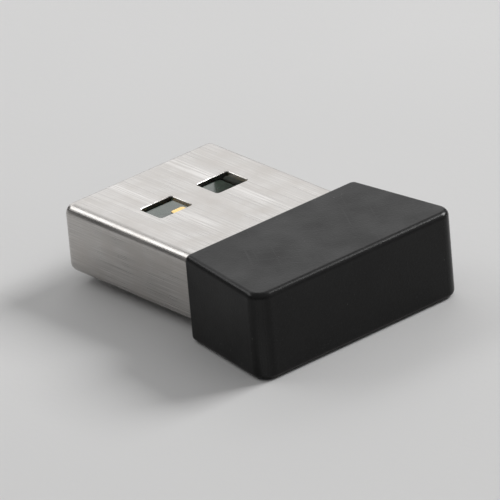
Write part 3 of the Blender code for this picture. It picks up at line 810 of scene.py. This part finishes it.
def add_barbs_and_legs(shell):
    """Two barbs bent out of the side walls, which lock in the cap, and two legs beside the board."""
    reach = SHELL_X + THROUGH
    root, tip, half = BARB_ROOT + BARB_ROOM, BARB_TIP + BARB_ROOM, (BARB_HEIGHT + BARB_ROOM) / 2
    opening = [(root, -half), (tip, -half), (tip, half), (root, half)]
    cut(shell, prism("barb_opening", opening, -reach, reach, "X"))
    inner, outer = BORE_X + FIT, SHELL_X - FIT
    for side, word in SIDES:
        barb = [(side * inner, BARB_ROOT), (side * outer, BARB_ROOT)]
        barb += [(side * (outer + BARB_REACH), BARB_TIP), (side * (inner + BARB_REACH), BARB_TIP)]
        join(shell, prism("barb_" + word, barb, -BARB_HEIGHT / 2, BARB_HEIGHT / 2))
    for word, low_x, high_x in both_sides(inner, outer):
        low = (low_x, SHELL_LOW.y, BOARD_BOTTOM - LEG_PROUD)
        join(shell, box("shell_leg_" + word, low, (high_x, SHELL_REAR + FIT, BOARD_TOP + LEG_PROUD)))


def build_usb_shell():
    """The folded sheet-metal shell, whose open tip is rolled in a little all round."""

    def wall(inset):
        return rectangle(SHELL_X - inset, SHELL_Z - inset, SHELL_CORNER - inset)

    turns = quarter_turns()
    levels = [(SHELL_REAR, NECK_INSET), (NECK_END - NECK_STEP, NECK_INSET), (NECK_END, 0)]
    levels += [(PLUG_LENGTH - LIP_LENGTH * (1 - sin(turn)), LIP_ROLL * (1 - cos(turn))) for turn in turns]
    rest = SHEET - LIP_ROLL
    levels += [(PLUG_LENGTH - rest * (1 - cos(turn)), LIP_ROLL + rest * sin(turn)) for turn in turns]
    levels += [(SHELL_REAR, SHEET)]
    rings = [[(x, y, z) for x, z in wall(inset)] for y, inset in levels]
    shell = loft("usb_shell_folded_sheet", rings, hollow=True)
    add_windows(shell)
    add_seam(shell)
    add_barbs_and_legs(shell)
    return shell


def bore_profile(low, high, foot, head):
    """A section that fills the shell's bore from low to high, with its lower and upper corners rounded."""
    x = BORE_X - 2 * GAP
    return rounded([(x, high, head), (-x, high, head), (-x, low, foot), (x, low, foot)], SMALL_STEPS)


def build_plug_carrier():
    """The tray under the board: it holds the board up in the shell, and its nose covers the board's tip."""
    low, high = CARRIER_LOW.z, BOARD_BOTTOM - GAP
    edge = INSERT_EDGE

    def section(draw):
        return bore_profile(low + draw, high, BORE_CORNER - draw, 0.0)

    nose_tip, tip = CARRIER_HIGH.y, CARRIER_HIGH.y - FIT
    levels = ((CARRIER_LOW.y, edge), (CARRIER_LOW.y + edge, 0), (tip - edge, 0), (tip - edge / 3, edge / 3))
    carrier = stack("plug_carrier_moulding", section, levels + ((tip, edge),), "Y")
    rear, foot, half = BOARD_TIP + GAP, high - NOSE_LAP, BORE_X - 3 * GAP
    nose = [(rear, foot, 0.0), (nose_tip, foot, 0.0), (nose_tip, -GAP - NOSE_LEAD_IN, edge)]
    nose += [(nose_tip - NOSE_LEAD_IN, -GAP, edge), (rear, -GAP, 0.0)]
    join(carrier, prism("carrier_nose", rounded(nose, FINE_STEPS), -half, half, "X"))
    lowest = (-CHIP_ROOM_X, CHIP_ROOM_Y[0], low - THROUGH)
    cut(carrier, box("chip_room", lowest, (CHIP_ROOM_X, CHIP_ROOM_Y[1], high + THROUGH)))
    for side in (-1, 1):
        room = window_outline(side, LATCH_ROOM_MARGIN)
        cut(carrier, prism("latch_room", room, low - THROUGH, low + LATCH_ROOM_DEPTH))
    pocket_width, pocket_height, pocket_depth = NOSE_POCKET
    for x in NOSE_POCKETS_X:
        centre = (x, (low + foot) / 2)
        pocket = rectangle(pocket_width / 2, pocket_height / 2, edge, centre, FINE_STEPS)
        cut(carrier, prism("nose_pocket", pocket, tip - pocket_depth, tip + THROUGH, "Y"))
    return carrier


def build_board_clamp():
    """The block over the board at the plug's root, hollowed from behind."""
    low, high = CLAMP_LOW.z, CLAMP_HIGH.z
    rear, front, edge = CLAMP_LOW.y, CLAMP_HIGH.y, INSERT_EDGE

    def section(draw):
        return bore_profile(low, high - draw, 0.0, BORE_CORNER - draw)

    clamp = stack("board_clamp_moulding", section, ((rear, 0), (front - edge, 0), (front, edge)), "Y")
    for word, low_x, high_x in both_sides(CLAMP_WALL, BORE_X - 2 * CLAMP_WALL):
        corner = (low_x, rear - THROUGH, low + CLAMP_WALL)
        cut(clamp, box("clamp_room_" + word, corner, (high_x, front - CLAMP_WALL, high - CLAMP_WALL)))
    return clamp


# -------- board


def build_circuit_board():
    """One board: a narrow tongue in the plug and a wider end in the cap, with traces under its mask."""
    wide, edge = BOARD_HIGH.x, BOARD_EDGE

    def outline(inset):
        tongue, end = TONGUE_X - inset, wide - inset
        tip, shoulder, rear = BOARD_TIP - inset, BOARD_SHOULDER - inset, BOARD_LOW.y + inset
        front = [(tongue, tip, TONGUE_CORNER), (-tongue, tip, TONGUE_CORNER), (-tongue, shoulder, 0.0)]
        left = [(-end, shoulder, SHOULDER_CORNER), (-end, rear, BOARD_CORNER)]
        right = [(end, rear, BOARD_CORNER), (end, shoulder, SHOULDER_CORNER), (tongue, shoulder, 0.0)]
        return rounded(front + left + right, SMALL_STEPS)

    levels = ((BOARD_BOTTOM, edge), (BOARD_BOTTOM + edge, 0), (BOARD_TOP - edge, 0), (BOARD_TOP, edge))
    board = stack("circuit_board_laminate", outline, levels)
    for path in board_traces():
        join(board, prism("trace", band(path, TRACE_WIDTH), BOARD_TOP - edge, BOARD_TOP + TRACE_HEIGHT))
    mask, laminate, covered_copper = range(3)

    def layer(centre, normal):
        if centre.z > BOARD_TOP + TRACE_HEIGHT / 4:
            return covered_copper
        return laminate if abs(normal.z) < 0.5 else mask

    paint(board, layer)
    return board


def board_traces():
    """The traces from the four contacts back to the parts in the cap."""
    paths = []
    for node, end_x in CONTACT_TRACES.items():
        low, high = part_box(node)
        x = (low.x + high.x) / 2
        paths.append([(x, low.y + TRACE_WIDTH), (x, CLAMP_HIGH.y), (end_x, CLAMP_LOW.y), (end_x, TRACE_END)])
    return paths


def build_contact(node):
    """A gold-plated contact with rounded corners and a softly rounded rim."""
    low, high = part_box(node)
    middle, half = (low + high) / 2, (high - low) / 2

    def outline(inset):
        size = half.x - inset, half.y - inset
        return rectangle(*size, CONTACT_CORNER - inset, (middle.x, middle.y), SMALL_STEPS)

    levels = [(low.z, 0)] + rim_levels(high.z, CONTACT_RIM, FINE_STEPS)
    return stack(node + "_plate", outline, levels)


def build_antenna():
    """The printed antenna: an inverted F whose arm is folded to and fro across the board's outer end."""
    low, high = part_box("antenna_trace")
    first, far = low.x + ANTENNA_WIDTH / 2, low.y + ANTENNA_WIDTH / 2
    near, turn = far + ANTENNA_DEPTH, far + ANTENNA_DEPTH - ANTENNA_INDENT
    path = [(first, near), (first, far), (first + 2 * ANTENNA_PITCH, far)]
    for fold in range(ANTENNA_FOLDS):
        x = first + (2 + fold) * ANTENNA_PITCH
        start, end = (turn, far) if fold % 2 else (far, turn)
        path += [(x, start), (x, end)] if fold else [(x, end)]
    feed = [(first + ANTENNA_PITCH, far), (first + ANTENNA_PITCH, high.y)]
    levels = ((low.z, 0), (high.z - ANTENNA_RIM, 0), (high.z, 2 * ANTENNA_RIM))
    antenna = stack("antenna_trace_strip", lambda draw: band(path, ANTENNA_WIDTH - draw), levels)
    join(antenna, stack("antenna_feed", lambda draw: band(feed, ANTENNA_WIDTH - draw), levels))
    return antenna


# -------- soldered parts


def lying(node):
    """Where a soldered part is: its middle, length, width, height, and whether it is turned or underneath."""
    low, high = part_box(node)
    size, middle = high - low, (low + high) / 2
    turned, under = size.y > size.x, middle.z < BOARD_BOTTOM
    length, width = (size.y, size.x) if turned else (size.x, size.y)
    return middle, length, width, size.z, turned, under


def set_down(piece, middle, turned=False, under=False):
    """Puts a part made upright on the origin down on the board, with its place in its mesh."""
    level = BOARD_BOTTOM if under else BOARD_TOP
    place = Matrix.Translation((middle.x, middle.y, level))
    flip = Matrix.Rotation(pi if under else 0, 4, "X")
    turn = Matrix.Rotation(pi / 2 if turned else 0, 4, "Z")
    piece.data.transform(place @ flip @ turn)
    return piece


def build_two_ended(node):
    """A ceramic part between two tinned ends, each in a small ramp of solder."""
    middle, length, width, height, turned, under = lying(node)
    top, end, soft = height + GAP, TINNED_SHARE * length, PART_EDGE

    def ring(x, half, foot, head, corner):
        section = rectangle(half, (head - foot) / 2, corner, (0, (head + foot) / 2), TINY_STEPS)
        return [(x, a, b) for a, b in section]

    side, ramp = [], min(SOLDER_REACH * height, SOLDER_MOST)
    for step in range(RAMP_STEPS + 1):
        share = step / RAMP_STEPS
        rise = top * (SOLDER_RISE[0] + SOLDER_RISE[1] * share**2)
        half = width / 2 + SOLDER_SPREAD * (1 - share)
        side.append((ramp * (1 - share), half, 0, rise, min(soft, rise / 3)))
    for along, inset in EDGE_STEPS:
        side.append((-soft * along, width / 2 - soft * inset, GAP, top - soft * inset, soft))
    side.append((-end, width / 2, GAP, top, soft))
    side.append((-end, width / 2 - WAIST, GAP + WAIST, top - WAIST, soft))
    left = [ring(-length / 2 - reach, *rest) for reach, *rest in side]
    right = [ring(length / 2 + reach, *rest) for reach, *rest in reversed(side)]
    part = loft(node + "_soldered", left + right)
    paint(part, lambda centre, normal: abs(centre.x) > length / 2 - end - WAIST / 2)
    return set_down(part, middle, turned, under)


def build_wifi_chip():
    """The radio chip: a flat leadless package with drafted sides, a first-pad dimple and tinned pads."""
    middle, length, width, height, _, under = lying("wifi_chip")
    top = height + GAP
    levels = ((GAP, 0), (CHIP_STEP, 0), (CHIP_STEP, CHIP_DRAFT))
    levels += ((top - PART_EDGE, 2 * CHIP_DRAFT), (top, 3 * CHIP_DRAFT))

    def outline(inset):
        return rectangle(length / 2 - inset, width / 2 - inset, CHIP_CORNER, steps=FINE_STEPS)

    chip = stack("wifi_chip_package", outline, levels)
    dimple = (CHIP_DIMPLE_AT - length / 2, width / 2 - CHIP_DIMPLE_AT)
    sunk = ((top - CHIP_DRAFT * 2, 0), (top, CHIP_DRAFT), (top + THROUGH, CHIP_DRAFT))
    cut(chip, stack("chip_dimple", lambda grow: circle(CHIP_DIMPLE + grow, dimple), sunk))
    half_x, half_y = length / 2 + PAD_PROUD, width / 2 + PAD_PROUD
    first = -(CHIP_PADS - 1) / 2 * CHIP_PITCH
    for number in range(CHIP_PADS):
        place = first + number * CHIP_PITCH
        near, far = place - CHIP_PAD / 2, place + CHIP_PAD / 2
        join(chip, box("pad_across", (near, -half_y, 0), (far, half_y, CHIP_PAD)))
        join(chip, box("pad_along", (-half_x, near, 0), (half_x, far, CHIP_PAD)))
    pad_x, pad_y = length / 2 + PAD_PROUD / 2, width / 2 + PAD_PROUD / 2
    paint(chip, lambda centre, normal: abs(centre.x) > pad_x or abs(centre.y) > pad_y or centre.z < GAP / 2)
    return set_down(chip, middle, False, under)


def build_crystal_tray():
    """The clock crystal's ceramic tray, with a quarter-round notch in each corner."""
    middle, length, width, height, _, under = lying("crystal_base")

    def outline(inset):
        return rectangle(length / 2 - inset, width / 2 - inset)

    levels = round_levels(0, height + GAP, PART_EDGE / 2, TINY_STEPS)
    tray = stack("crystal_base_tray", outline, levels)
    for x in (-length / 2, length / 2):
        for y in (-width / 2, width / 2):
            notch = circle(CRYSTAL_NOTCH, (x, y), count=24)
            cut(tray, prism("crystal_notch", notch, -THROUGH, height + THROUGH))
    return set_down(tray, middle, False, under)


def build_crystal_lid():
    """The crystal's stamped metal lid: a flat flange and a raised middle with a rounded rim."""
    middle, length, width, height, _, under = lying("crystal_lid")
    tray_low, tray_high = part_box("crystal_base")
    foot = tray_high.z - tray_low.z + 2 * GAP
    step, top = foot + height * LID_FLANGE_SHARE, foot + height

    def outline(inset):
        return rectangle(length / 2 - inset, width / 2 - inset, LID_CORNER - inset / 2, steps=LID_STEPS)

    levels = [(foot, 0), (step - PART_EDGE / 4, 0), (step, PART_EDGE / 4)]
    raised = [(step, 0)] + rim_levels(top, PART_EDGE, FINE_STEPS)
    levels += [(rise, PART_EDGE + inset) for rise, inset in raised]
    return set_down(stack("crystal_lid_cap", outline, levels), middle, False, under)


def build_voltage_regulator():
    """The 3.3 V regulator: a drafted block with two bent leads on one side and one on the other."""
    middle, length, reach, height, _, _ = lying("voltage_regulator")
    half_x, half_y, top = length / 2, REGULATOR_DEPTH / 2, height + GAP
    draft, waist = REGULATOR_DRAFT, top / 2

    def outline(inset):
        return rectangle(half_x - inset, half_y - inset, PART_EDGE, steps=TINY_STEPS)

    levels = ((GAP + draft, draft), (waist - WAIST, 0), (waist + WAIST, 0))
    levels += ((top - PART_EDGE, draft), (top, 2 * draft))
    body = stack("voltage_regulator_package", outline, levels)
    dent_at = (half_x * REGULATOR_DENT[0], half_y * REGULATOR_DENT[1])
    sunk = ((top - WAIST, 0), (top, WAIST), (top + THROUGH, WAIST))
    cut(body, stack("regulator_dent", lambda grow: circle(CHIP_DIMPLE + grow, dent_at), sunk))
    thick, wide = LEAD_SIZE
    root, bend, foot = half_y * LEAD_ROOT, half_y + LEAD_BEND, reach / 2
    for x, side in ((-LEAD_ASIDE, -1), (LEAD_ASIDE, -1), (0, 1)):
        path = [(side * root, waist), (side * bend, waist)]
        path += [(side * (bend + thick), thick / 2), (side * foot, thick / 2)]
        join(body, prism("regulator_lead", band(path, thick), x - wide / 2, x + wide / 2, "X"))
    paint(body, lambda centre, normal: abs(centre.y) > half_y + WAIST / 4)
    return set_down(body, middle)


# -------- stage


def build_floor(low):
    """A pale floor with softly rounded corners, just under the object."""
    top = low - FLOOR_GAP
    outline = rectangle(FLOOR_HALF, FLOOR_HALF, FLOOR_HALF / 3, steps=24)
    slab = prism("floor", outline, top - FLOOR_THICK, top)
    slab.data.materials.append(pale_floor())


def add_light(name, direction, distance, size, watts):
    """A soft light that faces the object and isn't seen itself."""
    data = bpy.data.lights.new(name, "AREA")
    data.shape = "RECTANGLE"
    data.size, data.size_y = size
    data.energy = watts
    light = bpy.data.objects.new(name, data)
    back = Vector(direction).normalized()
    light.location = back * distance
    light.rotation_euler = back.to_track_quat("Z", "Y").to_euler()
    light.visible_camera = False
    bpy.context.scene.collection.objects.link(light)


def light_the_scene():
    """Soft studio light: a dim room, brighter above, and lights behind and beside the object."""
    world = bpy.data.worlds.new("studio")
    world.use_nodes = True
    nodes, links = world.node_tree.nodes, world.node_tree.links
    direction, parts = nodes.new("ShaderNodeTexCoord"), nodes.new("ShaderNodeSeparateXYZ")
    rise = nodes.new("ShaderNodeMapRange")
    rise.inputs["To Min"].default_value, rise.inputs["To Max"].default_value = ROOM_LIGHT
    links.new(direction.outputs["Generated"], parts.inputs["Vector"])
    links.new(parts.outputs["Z"], rise.inputs["Value"])
    links.new(rise.outputs["Result"], nodes["Background"].inputs["Color"])
    bpy.context.scene.world = world
    bpy.context.scene.view_settings.view_transform = "Standard"
    for name, *settings in LIGHTS:
        add_light(name, *settings)


def add_camera(centre):
    """The photograph's direction, roll and distance, with a longer lens."""
    azimuth, elevation, roll = map(radians, (CAMERA_AZIMUTH, CAMERA_ELEVATION, CAMERA_ROLL))
    flat = cos(elevation)
    back = Vector((sin(azimuth) * flat, -cos(azimuth) * flat, sin(elevation)))
    right = Vector((cos(azimuth), sin(azimuth), 0))
    up = back.cross(right)
    across, upright = cos(roll) * right + sin(roll) * up, cos(roll) * up - sin(roll) * right
    data = bpy.data.cameras.new("camera")
    data.sensor_width = SENSOR
    data.lens = SENSOR * CAMERA_DISTANCE / VIEW_WIDTH
    data.clip_start, data.clip_end = 0.01, 10.0
    camera = bpy.data.objects.new("camera", data)
    turned = Matrix((across, upright, back)).transposed().to_4x4()
    camera.matrix_world = Matrix.Translation(centre + back * CAMERA_DISTANCE) @ turned
    bpy.context.scene.collection.objects.link(camera)
    bpy.context.scene.camera = camera


# -------- the whole


def show_plastic_and_metal():
    """The cap, the plug's shell and the plastic inside it."""
    cap = moulded_plastic("satin_black_moulding", 0.0060, 0.44, 0.0000075)
    insert = insert_plastic()
    show(build_cap_cover(), "cap_cover", cap)
    show(build_cap_base(), "cap_base", cap)
    show(build_usb_shell(), "usb_shell", shell_nickel())
    show(build_plug_carrier(), "plug_carrier", insert)
    show(build_board_clamp(), "board_clamp", insert)


def show_contacts_and_antenna():
    """The four contacts and the printed antenna."""
    gold = contact_gold()
    for node in CONTACT_TRACES:
        show(build_contact(node), node, gold)
    dark, light = (0.55, 0.24, 0.12, 1), (0.74, 0.37, 0.20, 1)
    copper = metal("antenna_copper", dark, light, 0.0004, 0.26, 0.42, 0.000003)
    show(build_antenna(), "antenna_trace", copper)


def show_board():
    """The board and everything soldered to it."""
    tin = metal("tin_solder", grey(0.52, 0.01), grey(0.68, 0.01), 0.0002, 0.16, 0.34, 0.000004)
    lid = metal("crystal_lid_metal", grey(0.56, 0.05), grey(0.70, 0.07), 0.0005, 0.20, 0.32, 0.000003)
    epoxy = mineral("chip_epoxy", grey(0.010), grey(0.024), 0.00005, 0.50, 0.66, 0.000003)
    browns = (0.20, 0.17, 0.13, 1), (0.34, 0.29, 0.22, 1)
    tray = mineral("crystal_tray", *browns, 0.00006, 0.50, 0.70, 0.000003)
    tans = (0.30, 0.18, 0.09, 1), (0.46, 0.30, 0.17, 1)
    tan_body = mineral("tan_ceramic", *tans, 0.00006, 0.38, 0.56, 0.000002)
    glaze = mineral("black_glaze", grey(0.014), grey(0.034), 0.00006, 0.30, 0.48, 0.000002)
    ferrite = mineral("ferrite", grey(0.036, 0.03), grey(0.075, 0.03), 0.00005, 0.55, 0.75, 0.000004)
    mask = solder_mask("green_solder_mask", (0.006, 0.060, 0.026, 1), (0.011, 0.094, 0.042, 1))
    covered = solder_mask("mask_over_copper", (0.030, 0.150, 0.060, 1), (0.042, 0.190, 0.080, 1))
    show(build_circuit_board(), "circuit_board", mask, laminate_edge(), covered)
    show(build_wifi_chip(), "wifi_chip", epoxy, tin)
    show(build_voltage_regulator(), "voltage_regulator", epoxy, tin)
    show(build_crystal_tray(), "crystal_base", tray)
    show(build_crystal_lid(), "crystal_lid", lid)
    bodies = {"capacitor_ceramic": tan_body, "resistor_ceramic": glaze, "ferrite": ferrite}
    for node, slot in SLOTS.items():
        if slot in bodies:
            show(build_two_ended(node), node, bodies[slot], tin)


add_camera((cad_box[0] + cad_box[1]) / 2)
show_plastic_and_metal()
show_contacts_and_antenna()
show_board()
build_floor(cad_box[0].z)
light_the_scene()
